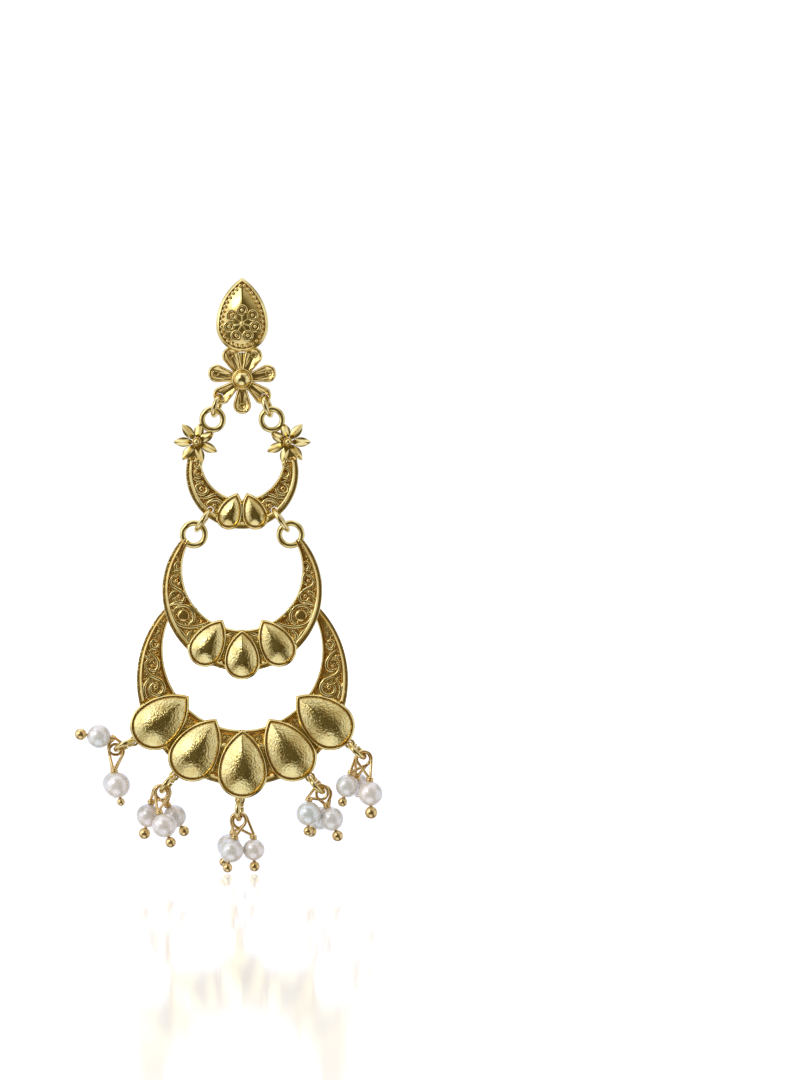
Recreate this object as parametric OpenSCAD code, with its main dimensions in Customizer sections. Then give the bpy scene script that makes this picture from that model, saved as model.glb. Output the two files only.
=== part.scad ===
// Chandelier drop earring: a pointed teardrop stud over a petalled flower, three
// crescents with domed teardrops hung under each other, and five clusters of pearls.
// X is right, Z is up and the front faces -Y. The origin is the middle of the post
// where it leaves the back of the stud.

/* [Castings] */
// Thickness of a casting at its sunk field
floor_t = 0.9; // [0.86:0.02:0.94]
// Height of a raised edge above the flat back
edge_t = 1.3; // [1.2:0.05:1.35]
// Width of a raised edge line
edge_w = 0.34; // [0.3:0.02:0.38]
// Width of the sloping outer border of a crescent
slope_w = 0.7; // [0.6:0.05:0.8]
// Half width of a raised scroll strand
strand_r = 0.17; // [0.14:0.01:0.19]
// Distance of the lower crescent behind the other two
lower_back = 1.6; // [1.55:0.05:1.7]

/* [Stud] */
// Half width of the stud's teardrop cup
cup_r = 3.9; // [3.8:0.05:4]
// Distance from the middle of the cup's round end to its tip
cup_tip = 7.2; // [7:0.1:7.4]
// Height of the middle of the cup's round end
cup_z = -1.2; // [-1.3:0.05:-1.1]
// Number of border beads round the cup
border_beads = 29; // [26:1:30]
// Height of the flower's middle
flower_z = -9.2; // [-9.3:0.05:-9.1]
// Distance from the flower's middle to a petal's end
petal_len = 5.2; // [5.1:0.05:5.3]
// Radius of a petal's round end
petal_r = 1.35; // [1.3:0.01:1.38]

/* [Post] */
// Radius of the ear post
post_r = 0.4; // [0.35:0.05:0.45]
// Length of the ear post
post_len = 10; // [9:0.5:11]

/* [Links] */
// Radius of a jump ring's wire
link_wire = 0.38; // [0.36:0.01:0.38]
// Radius of a hanging eye's wire
eye_wire = 0.4; // [0.38:0.01:0.4]
// Radius of a hole that a jump ring passes through
link_hole = 0.6; // [0.58:0.01:0.62]

/* [Pearls] */
// Radius of a head pin's wire
pin_r = 0.24; // [0.2:0.01:0.25]
// Radius of the hole through a pearl
drill_r = 0.36; // [0.35:0.01:0.4]
// Radius of a head pin's loop
loop_r = 1.1; // [1.05:0.05:1.15]

/* [Hidden] */
$fn = 48;

gold = "goldenrod";
pin_gold = "darkgoldenrod";
pearl_white = "whitesmoke";

// Height of the middle of a hanging eye above a casting's back
eye_h = 0.6;
// Distance between the middles of two linked wires at rest
seat = link_wire + eye_wire + 0.1;
// Width of the fine groove round a teardrop where it lies on a crescent
seam = 0.06;
// Width of the groove between a teardrop's rim and its dome
groove_w = 0.14;
// Size of a square that cuts off the top of a crescent
cut_size = 60;
// Length of a drill that goes right through a casting, and its start behind the back
drill_len = 4;
drill_back = -1;

// The middle crescents' and the stud's hanging places, on the left side:
// [hole x, hole z, slant from straight down, jump ring radius, eye ring radius]
HOLE_X = 0;
HOLE_Z = 1;
SLANT = 2;
RING_R = 3;
EYE_R = 4;
stud_hang = [-3.31, -11.76, 18, 1.5, 1.53];
upper_hang = [-4.75, -28.75, 34, 1.85, 1.65];

// The hidden hinge of the lower crescent: place of the eye's wire and the two radii
lower_eye_x = -9.8;
lower_hinge_z = -40.7;
lower_eye_r = 1.2;
staple_r = 1.4;

// Crescents: [outer radius, outer centre z, inner radius, inner centre z, top z]
OUT_R = 0;
OUT_Z = 1;
IN_R = 2;
IN_Z = 3;
TOP_Z = 4;
upper_band = [8.45, -23.2, 6.17, -21.05, -18.6];
middle_band = [12, -41, 9, -37.75, -33.2];
lower_band = [15.9, -54.3, 11.95, -49.85, -42.6];

// Teardrops on a crescent: [round centre x, z, radius, tip distance, lean]
DROP_X = 0;
DROP_Z = 1;
DROP_R = 2;
DROP_TIP = 3;
DROP_LEAN = 4;
upper_drops = [
    [-2.0, -29.8, 1.95, 3.8, -20],
    [2.0, -29.8, 1.95, 3.8, 20]
];
middle_drops = [
    [0, -51.5, 2.75, 4.8, 0],
    [-5.5, -49.65, 2.7, 5.15, -30],
    [5.5, -49.65, 2.7, 5.15, 30]
];
lower_drops = [
    [0, -68.3, 3.8, 6.6, 0],
    [-7.5, -65.9, 3.7, 6.8, -32],
    [7.5, -65.9, 3.7, 6.8, 32],
    [-13.2, -61.2, 3.7, 6.85, -49],
    [13.2, -61.2, 3.7, 6.85, 49]
];

// Curls in the sunk fields, on the left side: [x, z, radius, start angle, turn]
upper_curls = [
    [-6.75, -21.9, 0.5, 90, -1],
    [-6.5, -23.4, 0.5, 270, 1],
    [-6.15, -25.6, 0.85, 100, -1],
    [-4.1, -28.0, 0.85, 120, -1]
];
middle_curls = [
    [-9.6, -37.2, 0.5, 90, -1],
    [-9.9, -39.4, 0.75, 90, 1],
    [-9.5, -41.7, 0.8, 60, -1],
    [-8.85, -44.6, 1.4, 30, 1]
];
lower_curls = [
    [-13.2, -49.1, 0.6, 90, -1],
    [-13.6, -52.0, 0.9, 90, 1],
    [-13.0, -55.4, 1.15, 60, -1]
];

// Straight strands that join the curls: [from x, from z, to x, to z]
upper_strands = [[-7.2, -24.4, -5.3, -24.9], [-6.4, -27.0, -3.2, -27.0]];
middle_strands = [
    [-10.1, -37.6, -9.3, -38.7],
    [-10.6, -39.8, -8.6, -41.2],
    [-10.5, -42.2, -8.2, -43.0],
    [-9.3, -46.1, -7.3, -46.1]
];
lower_strands = [
    [-13.8, -49.6, -12.8, -51.0],
    [-14.4, -52.6, -12.2, -54.2],
    [-14.7, -53.3, -13.0, -54.1]
];

// Drop rings: [edge x, edge z, angle from straight down towards +X]
drop_rings = [
    [-16.15, -63.45, -65],
    [-10.15, -68.55, -38.5],
    [-0.4, -72.05, -3],
    [9.95, -68.75, 41.5],
    [15.9, -63.75, 47]
];
ring_y = 2.6;
ring_r = 1.45;
ring_lead = 0.34;
eyelet_r = 0.75;
eyelet_wire = 0.26;

// Gap between a pearl and its pin's ball
ball_gap = 0.04;
// Straight stretch of a pin above its pearl
pin_lead = 0.6;
// Room between a loop and the ring that it hangs on
loop_room = 0.16;

// Pearls and pins:
// [ring, pearl x, y, z, radius, point that the ball lies towards x, y, z, ball radius, loop y]
PEARL_RING = 0;
PEARL_R = 4;
BALL_R = 8;
LOOP_Y = 9;
pearls = [
    [0, -21.6, 1.6, -62.8, 1.8, -24.05, 1.4, -62.5, 0.9, 2.6],
    [0, -18.8, 1.0, -70.1, 1.95, -18.3, 0.9, -72.4, 0.6, 2.0],
    [0, -19.4, 5.0, -70.0, 1.8, -19.3, 6.8, -71.8, 0.6, 3.2],
    [1, -14.25, 3.4, -74.8, 1.8, -14.8, 3.4, -77.4, 0.88, 2.6],
    [1, -11.75, 0.7, -76.15, 1.85, -10.8, 0.5, -78.6, 0.82, 2.0],
    [1, -10.3, 4.2, -74.95, 1.75, -9.0, 4.4, -77.0, 0.82, 3.2],
    [2, -1.65, 1.4, -80.0, 1.8, -2.2, 1.2, -82.3, 0.75, 2.0],
    [2, -2.15, 5.2, -79.4, 1.8, -2.9, 5.4, -81.8, 0.72, 3.2],
    [2, 1.65, 2.8, -79.9, 1.65, 1.75, 2.8, -82.1, 0.8, 2.6],
    [3, 9.9, 1.2, -74.4, 1.85, 9.85, 1.0, -76.8, 0.72, 2.0],
    [3, 13.35, 2.4, -75.25, 1.8, 14.2, 2.4, -77.6, 0.85, 2.6],
    [3, 11.6, 5.8, -75.3, 1.75, 10.1, 6.9, -77.5, 0.85, 3.2],
    [4, 15.7, 2.6, -70.3, 1.75, 15.1, 2.6, -72.4, 0.72, 2.6],
    [4, 19.2, 1.2, -71.4, 1.85, 19.3, 1.0, -73.9, 0.95, 2.0],
    [4, 17.2, 6.0, -70.2, 1.75, 17.3, 8.0, -71.7, 0.6, 3.2]
];

function turned(a) = [sin(a), -cos(a)];
function unit(v) = v / norm(v);

// Centre distance of a teardrop's two side arcs, from its radius and tip distance
function side_c(r, tip) = (tip * tip - r * r) / (2 * r);

// Points of a teardrop's outline at an inset, from the tip round the left side
function drop_point(r, c, t) =
    let (ri = r, big = ri + c, top = acos(c / big))
    t < 0.3 ? let (a = top * (1 - t / 0.3)) [c - big * cos(a), big * sin(a)]
    : t < 0.7 ? let (a = 180 + 180 * (t - 0.3) / 0.4) [ri * cos(a), ri * sin(a)]
    : let (a = top * (t - 0.7) / 0.3) [big * cos(a) - c, big * sin(a)];

// How far a point lies inside a teardrop's outline
function drop_inset(p, r, c) =
    p[1] < 0 ? r - norm(p) : r + c - norm([abs(p[0]) + c, p[1]]);

// Height of a dome at a share of the way in from its edge
function puff(share) = sin(90 * min(1, max(0, share)));

module teardrop_outline(r, c) {
    circle(r);
    intersection() {
        translate([-c, 0]) circle(r + c, $fn = 96);
        translate([c, 0]) circle(r + c, $fn = 96);
        translate([-r, 0]) square([2 * r, 2 * r + c]);
    }
}

// Closed dome whose edge is an inset teardrop outline, with a ridge from the tip
module dome(r, c, low, high, sides = 30) {
    shares = [0, 0.1, 0.25, 0.45, 0.7];
    ring_count = len(shares);
    base = [for (i = [0:sides - 1]) concat(drop_point(r, c, i / sides), [0])];
    rings = [
        for (s = shares) for (i = [0:sides - 1])
            concat(drop_point(r * (1 - s), c, i / sides), [low + (high - low) * puff(s)])
    ];
    apex = (ring_count + 1) * sides;
    walls = [
        for (k = [0:ring_count - 1]) for (i = [0:sides - 1])
            let (a = k * sides + i, b = k * sides + (i + 1) % sides)
            each [[a, b + sides, b], [a, a + sides, b + sides]]
    ];
    cap = [for (i = [0:sides - 1]) [ring_count * sides + i, apex, ring_count * sides + (i + 1) % sides]];
    bottom = [[for (i = [0:sides - 1]) i]];
    polyhedron(concat(base, rings, [[0, 0, high]]), concat(walls, cap, bottom), convexity = 4);
}

// Domed teardrop with a raised rim and a groove inside it, tip towards +Y
module teardrop(r, tip, swell) {
    c = side_c(r, tip);
    linear_extrude(floor_t) teardrop_outline(r, c);
    difference() {
        linear_extrude(edge_t) teardrop_outline(r, c);
        translate([0, 0, floor_t]) linear_extrude(1) teardrop_outline(r - edge_w, c);
    }
    dome(r - edge_w - groove_w, c, floor_t, floor_t + swell);
}

module place_drop(d) {
    translate([d[DROP_X], d[DROP_Z], 0]) rotate(d[DROP_LEAN]) children();
}

module ring(r, wire) {
    rotate_extrude() translate([r, 0]) circle(wire, $fn = 24);
}

// Jump ring in a plane that holds Y, hanging from its top wire at a slant
module hanging_ring(x, y, z, slant, r, wire) {
    u = turned(slant);
    translate([x + u[0] * r, y, z + u[1] * r]) rotate([0, 90 - slant, 0]) ring(r, wire);
}

// Stands something up along the way from one point to another
module aimed(a, b) {
    v = b - a;
    translate(a) rotate([0, acos(v[2] / norm(v)), atan2(v[1], v[0])]) children();
}

// Straight round wire between two points
module rod(a, b, r) {
    aimed(a, b) cylinder(h = norm(b - a), r = r, $fn = 24);
}

module facing(y) {
    translate([0, y, 0]) rotate([90, 0, 0]) children();
}

module both_sides() {
    children();
    mirror([1, 0, 0]) children();
}

// Raised arc of round wire lying half sunk in the field
module arc_strand(x, z, r, from, sweep) {
    translate([x, z, floor_t]) rotate(from) rotate_extrude(angle = sweep)
        translate([r, 0]) circle(strand_r, $fn = 16);
}

// Scroll curl: an open ring, a smaller inner turn and a bead
module curl(k) {
    r = k[2];
    turn = k[4];
    inner = r * 0.5;
    swing = 250 * turn;
    end = k[3] + swing;
    arc_strand(k[0], k[1], r, k[3], swing);
    arc_strand(k[0] + (r - inner) * cos(end), k[1] + (r - inner) * sin(end), inner, end, 150 * turn);
    translate([k[0], k[1], floor_t]) sphere(strand_r * 1.3);
}

module strand(s) {
    a = [s[0], s[1], floor_t];
    b = [s[2], s[3], floor_t];
    rod(a, b, strand_r);
    translate(a) sphere(strand_r);
    translate(b) sphere(strand_r);
}

module band_shape(b) {
    difference() {
        translate([0, b[OUT_Z]]) circle(b[OUT_R], $fn = 96);
        translate([0, b[IN_Z]]) circle(b[IN_R], $fn = 96);
        translate([-cut_size / 2, b[TOP_Z]]) square(cut_size);
    }
}

// Crescent plate with a sloping outer border and a raised line along each edge
module band(b) {
    outer = b[OUT_R];
    inner = b[IN_R];
    linear_extrude(floor_t) band_shape(b);
    intersection() {
        linear_extrude(edge_t) band_shape(b);
        union() {
            translate([0, b[OUT_Z], 0]) rotate_extrude($fn = 96) polygon([
                [outer - slope_w - edge_w, 0],
                [outer + 0.1, 0],
                [outer + 0.1, floor_t - 0.2],
                [outer - slope_w, edge_t],
                [outer - slope_w - edge_w, edge_t]
            ]);
            translate([0, b[IN_Z], 0]) rotate_extrude($fn = 96)
                translate([inner - 0.1, 0]) square([edge_w + 0.1, edge_t]);
        }
    }
}

// Crescent with its scrolls on both sides and its teardrops
module crescent(b, drops, curls, strands, swell) {
    difference() {
        union() {
            band(b);
            intersection() {
                linear_extrude(edge_t) band_shape(b);
                both_sides() {
                    for (k = curls) curl(k);
                    for (s = strands) strand(s);
                }
            }
        }
        for (d = drops) place_drop(d) translate([0, 0, floor_t])
            linear_extrude(edge_t) teardrop_outline(d[DROP_R] + seam, side_c(d[DROP_R], d[DROP_TIP]));
    }
    for (d = drops) place_drop(d) teardrop(d[DROP_R], d[DROP_TIP], swell);
}

// Middle of a hanging eye, from the hang above it
function eye_place(hang) =
    let (u = turned(-hang[SLANT]), reach = 2 * hang[RING_R] - seat + hang[EYE_R])
    [hang[HOLE_X] + u[0] * reach, hang[HOLE_Z] + u[1] * reach];

// Round eye at the top of a crescent
module hanging_eye(p, r) {
    translate([p[0], p[1], eye_h]) ring(r, eye_wire);
}

// Clears a plate out of an eye, just short of the eye's own wire
module eye_opening(p, r) {
    translate([p[0], p[1], drill_back]) cylinder(h = drill_len, r = r - eye_wire - 0.04);
}

module link_opening(hang) {
    translate([hang[HOLE_X], hang[HOLE_Z], drill_back]) cylinder(h = drill_len, r = link_hole);
}

module petal_shape() {
    middle = petal_len - petal_r;
    translate([0, middle]) circle(petal_r);
    polygon([[-0.5, 0.6], [0.5, 0.6], [petal_r, middle], [-petal_r, middle]]);
}

// Cupped petal pointing towards +Y, with a small raised ring in its cup
module petal(with_ring) {
    petal_low = 0.1;
    petal_high = 1.1;
    cup = 1.5;
    cup_up = 1.05;
    dish_up = 1.2;
    dish_in = 1.2;
    middle = petal_len - petal_r;
    difference() {
        translate([0, 0, petal_low]) linear_extrude(petal_high - petal_low) petal_shape();
        translate([0, middle, petal_high + cup_up]) sphere(cup);
        translate([0, middle - dish_in, petal_high + dish_up]) sphere(cup);
    }
    if (with_ring) translate([0, middle + 0.25, 0.74]) ring(0.42, 0.13);
}

module stud_cup() {
    c = side_c(cup_r, cup_tip);
    rim_t = 1.5;
    rim_w = 0.45;
    field_h = 1.2;
    dome_h = 2.2;
    dome_r = cup_r - rim_w - 0.1;
    bead_r = 0.22;
    rosette_z = 0.3;
    rosette_r = 2.0;
    linear_extrude(field_h) teardrop_outline(cup_r, c);
    difference() {
        linear_extrude(rim_t) teardrop_outline(cup_r, c);
        translate([0, 0, field_h]) linear_extrude(1) teardrop_outline(cup_r - rim_w, c);
    }
    dome(dome_r, c, field_h, dome_h);
    for (i = [0:border_beads - 1]) {
        p = drop_point(dome_r - 0.3, c, (i + 0.5) / border_beads);
        share = drop_inset(p, dome_r, c) / dome_r;
        translate([p[0], p[1], field_h + (dome_h - field_h) * puff(share) + 0.02]) sphere(bead_r, $fn = 24);
    }
    for (i = [0:6]) {
        p = [rosette_r * sin(i * 360 / 7), rosette_z + rosette_r * cos(i * 360 / 7)];
        share = drop_inset(p, dome_r, c) / dome_r;
        translate([p[0], p[1], field_h + (dome_h - field_h) * puff(share)]) {
            ring(0.6, 0.15);
            sphere(0.24, $fn = 24);
        }
    }
    translate([0, rosette_z, dome_h]) sphere(0.38, $fn = 24);
}

module ear_stud() {
    boss_h = 1.0;
    ball_r = 1.3;
    color(gold) facing(0) {
        difference() {
            union() {
                for (i = [0:6]) translate([0, flower_z, 0]) rotate(180 + i * 360 / 7)
                    petal(i != 1 && i != 6);
                translate([0, flower_z, 0.1]) cylinder(h = boss_h - 0.1, r = 1.6);
            }
            link_opening(stud_hang);
            mirror([1, 0, 0]) link_opening(stud_hang);
        }
        translate([0, flower_z, boss_h]) ring(ball_r, 0.3);
        translate([0, flower_z, boss_h + 0.35]) sphere(ball_r);
        translate([0, cup_z, 0]) stud_cup();
    }
}

module ear_post() {
    pad_t = 0.4;
    solder_gap = 0.02;
    color(gold) rotate([-90, 0, 0]) {
        translate([0, 0, solder_gap]) cylinder(h = pad_t, r = 1.2);
        translate([0, 0, solder_gap]) cylinder(h = post_len - post_r, r = post_r);
        translate([0, 0, solder_gap + post_len - post_r]) sphere(post_r);
    }
}

// Jump ring under the stud or the upper crescent, on the left side
module link(hang) {
    color(gold) hanging_ring(hang[HOLE_X], -eye_h, hang[HOLE_Z], -hang[SLANT], hang[RING_R], link_wire);
}

// Leaf-shaped petal along +X with a ridge from its root to near its point
module leaf() {
    leaf_len = 3.5;
    leaf_half = 0.7;
    leaf_edge = 0.75;
    outline = [
        [0.3, 0], [0.9, -0.34], [1.8, -leaf_half], [2.8, -0.45],
        [leaf_len, 0], [2.8, 0.45], [1.8, leaf_half], [0.9, 0.34]
    ];
    low = [for (p = outline) [p[0], p[1], 0]];
    high = [for (p = outline) [p[0], p[1], leaf_edge]];
    ridge = [[0.7, 0, 1.5], [2.6, 0, 1.15]];
    walls = [for (i = [0:7]) [8 + i, 8 + (i + 1) % 8, (i + 1) % 8, i]];
    right = [[8, 16, 9], [9, 16, 10], [10, 16, 17], [10, 17, 11], [11, 17, 12]];
    left = [[8, 15, 16], [15, 14, 16], [14, 17, 16], [14, 13, 17], [13, 12, 17]];
    polyhedron(concat(low, high, ridge), concat([[for (i = [0:7]) i]], walls, right, left), convexity = 3);
}

// Star flower of seven leaves round a small button
module star_flower() {
    button_r = 0.55;
    disc_t = 1.1;
    for (i = [0:6]) rotate(129 + i * 360 / 7) leaf();
    cylinder(h = disc_t, r = 0.9);
    translate([0, 0, disc_t]) sphere(button_r);
}

module upper_crescent() {
    eye = eye_place(stud_hang);
    color(gold) facing(0) difference() {
        union() {
            crescent(upper_band, upper_drops, upper_curls, upper_strands, 0.8);
            both_sides() {
                translate([-6.85, -18.6, 0]) star_flower();
                hanging_eye(eye, stud_hang[EYE_R]);
            }
        }
        both_sides() {
            link_opening(upper_hang);
            eye_opening(eye, stud_hang[EYE_R]);
        }
    }
}

module middle_crescent() {
    eye = eye_place(upper_hang);
    staple_z = lower_hinge_z + staple_r - seat;
    color(gold) facing(0) difference() {
        union() {
            crescent(middle_band, middle_drops, middle_curls, middle_strands, 1.1);
            both_sides() {
                hanging_eye(eye, upper_hang[EYE_R]);
                translate([lower_eye_x, staple_z, eye_h - lower_back]) rotate([0, 90, 0])
                    ring(staple_r, link_wire);
            }
        }
        both_sides() eye_opening(eye, upper_hang[EYE_R]);
    }
}

// Small eye behind a teardrop's edge that carries a drop ring
module eyelet(d) {
    u = turned(d[2]);
    lug_in = 0.88;
    lug_r = 0.3;
    lug_top = 0.4;
    h = lower_back - ring_y;
    hole = [d[0] + u[0] * ring_lead, d[1] + u[1] * ring_lead];
    translate([hole[0], hole[1], h]) ring(eyelet_r, eyelet_wire);
    translate([hole[0] - u[0] * lug_in, hole[1] - u[1] * lug_in, h]) cylinder(h = lug_top - h, r = lug_r);
}

module lower_crescent() {
    eye = [lower_eye_x, lower_hinge_z - lower_eye_r];
    color(gold) facing(lower_back) difference() {
        union() {
            crescent(lower_band, lower_drops, lower_curls, lower_strands, 1.5);
            both_sides() hanging_eye(eye, lower_eye_r);
            for (d = drop_rings) eyelet(d);
        }
        both_sides() eye_opening(eye, lower_eye_r);
    }
}

module drop_ring(i) {
    d = drop_rings[i];
    u = turned(d[2]);
    color(gold) hanging_ring(d[0] + u[0] * ring_lead, ring_y, d[1] + u[1] * ring_lead, d[2], ring_r, link_wire);
}

function pearl_at(p) = [p[1], p[2], p[3]];
function pearl_axis(p) = unit(pearl_at(p) - [p[5], p[6], p[7]]);
function ball_at(p) = pearl_at(p) - pearl_axis(p) * (p[PEARL_R] + p[BALL_R] + ball_gap);
function pin_top(p) = pearl_at(p) + pearl_axis(p) * (p[PEARL_R] + pin_lead);

// Middle of the wire at the bottom of a drop ring, at a given depth
function ring_bottom(i, y) =
    let (d = drop_rings[i], u = turned(d[2]), dy = y - ring_y,
         reach = ring_lead + ring_r + sqrt(ring_r * ring_r - dy * dy))
    [d[0] + u[0] * reach, y, d[1] + u[1] * reach];

function flat_unit(v) = unit([v[0], 0, v[2]]);

function loop_at(p) =
    let (b = ring_bottom(p[PEARL_RING], p[LOOP_Y]))
    b + flat_unit(pin_top(p) - b) * (loop_r - pin_r - link_wire - loop_room);

module pearl(i) {
    p = pearls[i];
    color(pearl_white) aimed(pearl_at(p), ball_at(p)) difference() {
        sphere(p[PEARL_R]);
        cylinder(h = 3 * p[PEARL_R], r = drill_r, center = true);
    }
}

module head_pin(i) {
    p = pearls[i];
    top = pin_top(p);
    loop = loop_at(p);
    foot = loop + flat_unit(top - loop) * loop_r;
    shaft_r = pin_r - 0.02;
    knee_r = pin_r * 1.25;
    color(pin_gold) {
        translate(loop) rotate([90, 0, 0]) ring(loop_r, pin_r);
        rod(foot, top, shaft_r);
        aimed(top, ball_at(p)) {
            sphere(knee_r, $fn = 24);
            cylinder(h = norm(ball_at(p) - top), r = shaft_r, $fn = 24);
            translate([0, 0, norm(ball_at(p) - top)]) sphere(p[BALL_R]);
        }
    }
}

ear_stud();
ear_post();
link(stud_hang);  // stud_link_left
mirror([1, 0, 0]) link(stud_hang);  // stud_link_right
upper_crescent();
link(upper_hang);  // upper_link_left
mirror([1, 0, 0]) link(upper_hang);  // upper_link_right
middle_crescent();
lower_crescent();
for (i = [0:4]) drop_ring(i);
for (i = [0:14]) pearl(i);
for (i = [0:14]) head_pin(i);
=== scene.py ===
from collections import namedtuple
from math import acos, asin, atan2, cos, hypot, pi, radians, sin, sqrt

import bmesh
import bpy
from bpy.props import FloatProperty, FloatVectorProperty, IntProperty, PointerProperty
from mathutils import Matrix, Vector, noise


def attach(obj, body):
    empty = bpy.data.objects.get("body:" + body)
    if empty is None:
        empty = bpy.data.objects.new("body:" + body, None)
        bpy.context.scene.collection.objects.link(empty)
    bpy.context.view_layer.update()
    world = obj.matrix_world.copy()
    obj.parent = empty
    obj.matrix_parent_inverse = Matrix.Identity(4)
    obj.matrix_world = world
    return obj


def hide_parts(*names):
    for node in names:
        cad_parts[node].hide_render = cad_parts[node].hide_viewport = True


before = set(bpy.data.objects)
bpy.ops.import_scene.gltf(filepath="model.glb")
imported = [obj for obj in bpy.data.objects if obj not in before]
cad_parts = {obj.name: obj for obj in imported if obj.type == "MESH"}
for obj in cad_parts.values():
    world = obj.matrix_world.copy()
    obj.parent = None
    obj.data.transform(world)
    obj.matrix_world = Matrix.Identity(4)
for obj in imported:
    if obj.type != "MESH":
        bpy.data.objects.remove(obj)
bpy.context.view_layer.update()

bl_info = {
    "name": "Chandelier drop earring",
    "version": (1, 0, 0),
    "blender": (4, 5, 0),
    "location": "3D View > Sidebar > Earring",
    "description": "Castings, jump rings, pearls and ball pins of a chandelier drop earring",
    "category": "Object",
}


def table(kind, *rows):
    """Rows of numbers with named columns."""
    return tuple(kind(*row) for row in rows)


Hang = namedtuple("Hang", "x z slant ring_r eye_r")
Band = namedtuple("Band", "outer_r outer_z inner_r inner_z top_z swell")
Drop = namedtuple("Drop", "x z r tip lean")
Spot = namedtuple("Spot", "x z r")
Ring = namedtuple("Ring", "x z slant")
Pearl = namedtuple("Pearl", "ring x y z r ball_x ball_y ball_z ball_r loop_y")

# Pieces are measured in millimetres in the CAD model's frame and made metres at the end.
# A casting is made in its own plane: x across, y up, and the height above its back as z.
MM = Matrix.Scale(0.001, 4)
PER_METRE = 1000
FLAT = Matrix.Identity(4)
MIRROR = Matrix.Scale(-1, 4, Vector((1, 0, 0)))
FULL_TURN = 2 * pi
# Marks on a form's points: darkness, which is patina together with painted shade, and grain of the domes
MARKS = ("recess", "grain")
CREASE = radians(38)

# Distance under which points are one, and size under which a face is a sliver
SEAM = 1e-5
SLIVER = 1e-4

# Heights above a casting's back: floor of the domes, edge lines, middle of the hanging eyes
FLOOR = 0.9
EDGE = 1.3
EYE_H = 0.6

# How far behind the others the lower crescent's back lies
LOWER_BACK = 1.6

# Lift of flat backs that overlap: of the first one, and more for each next one
DROP_LIFT = (0.03, 0.015)
PETAL_LIFT = (0.015, 0.012)
LEAF_LIFT = (0.02, 0.015)

# Crescents: widths of the border and of the inner edge line, band width from which both are full
BORDER = 1.07
INNER_LINE = 0.73
FULL_WIDTH = 2.1

# Sunk field: its depth, its unevenness and the waves of that, tones as share of the width and darkness; the
# darkness is patina, made full near the field's edges as painted shade
SUNK = 0.14
RELIEF = 0.16
RELIEF_WAVES = 2.2
FIELD_TONES = ((0.02, 1), (0.12, 0.6), (0.35, 0.3), (0.6, 0.3), (0.88, 0.6), (0.98, 1))

# Hammering: waves in a millimetre, finer waves in each of them, dome radius with full grain, seed step
HAMMER_WAVES = 1.7
FINER = 2.3
GRAINY_R = 3
SEED_STEP = 3.1

# Domes: number of rings, fullness of the curve
DOME_RINGS = 16
FULLNESS = 0.95

# Share of a teardrop's outline that each of its long sides takes
SIDE = 0.3

# Wires: radii of jump rings, eyes and scrolls, what an eye has more than its solid, room in its seat
LINK_WIRE = 0.38
EYE_WIRE = 0.4
EYE_EXTRA = 0.04
SEAT = LINK_WIRE + EYE_WIRE + 0.1
STRAND = 0.26

# Scrolls: swell at the start, in the middle and at the end; round ends as reach and what is left
SWELL = (0.6, 1.15, 0.85)
ROUND_END = ((0.6, 0.75), (1, 0.2))
CURVE_STEPS = 5

# Holes: radius of a jump ring's, how far it lies under the ring's top, lap of a plate over its eye
HOLE = 0.5
HOLE_DROP = 0.06
LAP = 0.04

# Jump rings: steps round one, degrees that its opening takes
RING_STEPS = 60
OPENING = 10

# Hanging places on the left side
STUD_HANG = Hang(-3.31, -11.76, 18, 1.5, 1.53)
UPPER_HANG = Hang(-4.75, -28.75, 34, 1.85, 1.65)
LOWER_EYE = Spot(-9.8, -41.9, 1.2)
STAPLE = Spot(-9.8, -40.18, 1.4)

# Jump rings that hang on each body, with their turn about their own slant and where they open.
# The upper ones are turned less, which keeps them clear of the middle casting through its swing.
LINKS = (("stud", STUD_HANG, 12), ("upper", UPPER_HANG, 3))
LINK_GAP = 62

# Star flower on the left side: x, z; then its leaves, those that are short, lengths, half width
STAR = (-6.85, -18.6)
LEAVES = 7
SHORT_LEAVES = (5, 6)
LEAF = 3.5
SHORT_LEAF = 2.9
LEAF_HALF = 0.74

# Stud: cup radius, tip distance and middle, then its border beads and rosettes
CUP_R = 3.9
CUP_TIP = 7.2
CUP_Z = -1.2
BORDER_BEADS = 31
ROSETTES = 7

# Flower: middle, number of petals, those that a jump ring hooks into, petal length and radius, foot
FLOWER_Z = -9.2
PETALS = 7
HOOKED = (1, 6)
PETAL = 5.2
PETAL_R = 1.35
FOOT_HALF = 0.5
FOOT_Y = 0.6

# Petal's rim: share of the way to its edge, height, darkness if any, which is painted shade at the rim's
# inner foot
PETAL_RIM = (
    (0, 0.1), (0.6, 0.1), (0.97, 0.1), (1, 0.24), (1, 0.92), (0.99, 0.96),
    (0.93, 1.03), (0.88, 1.09), (0.85, 1.11), (0.825, 1.07), (0.812, 0.94, 0.7),
    (0.8, 0.84, 0.8),
)

# Ear post with its pad and notch: radius, distance from the stud's back, darkness if any, which is painted
# shade in the notch
POST = (
    (0, 0.02), (1.12, 0.02), (1.2, 0.1), (1.2, 0.34), (1.12, 0.42), (0.56, 0.44),
    (0.4, 0.6), (0.4, 7.6), (0.34, 7.8, 0.3), (0.34, 8.3, 0.3), (0.4, 8.5), (0.4, 9.62),
    (0.37, 9.78), (0.28, 9.92), (0.14, 10.0), (0, 10.02),
)

UPPER_BAND = Band(8.45, -23.2, 6.17, -21.05, -18.6, 0.8)
MIDDLE_BAND = Band(12, -41, 9, -37.75, -33.2, 1.1)
LOWER_BAND = Band(15.9, -54.3, 11.95, -49.85, -42.6, 1.5)

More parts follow.
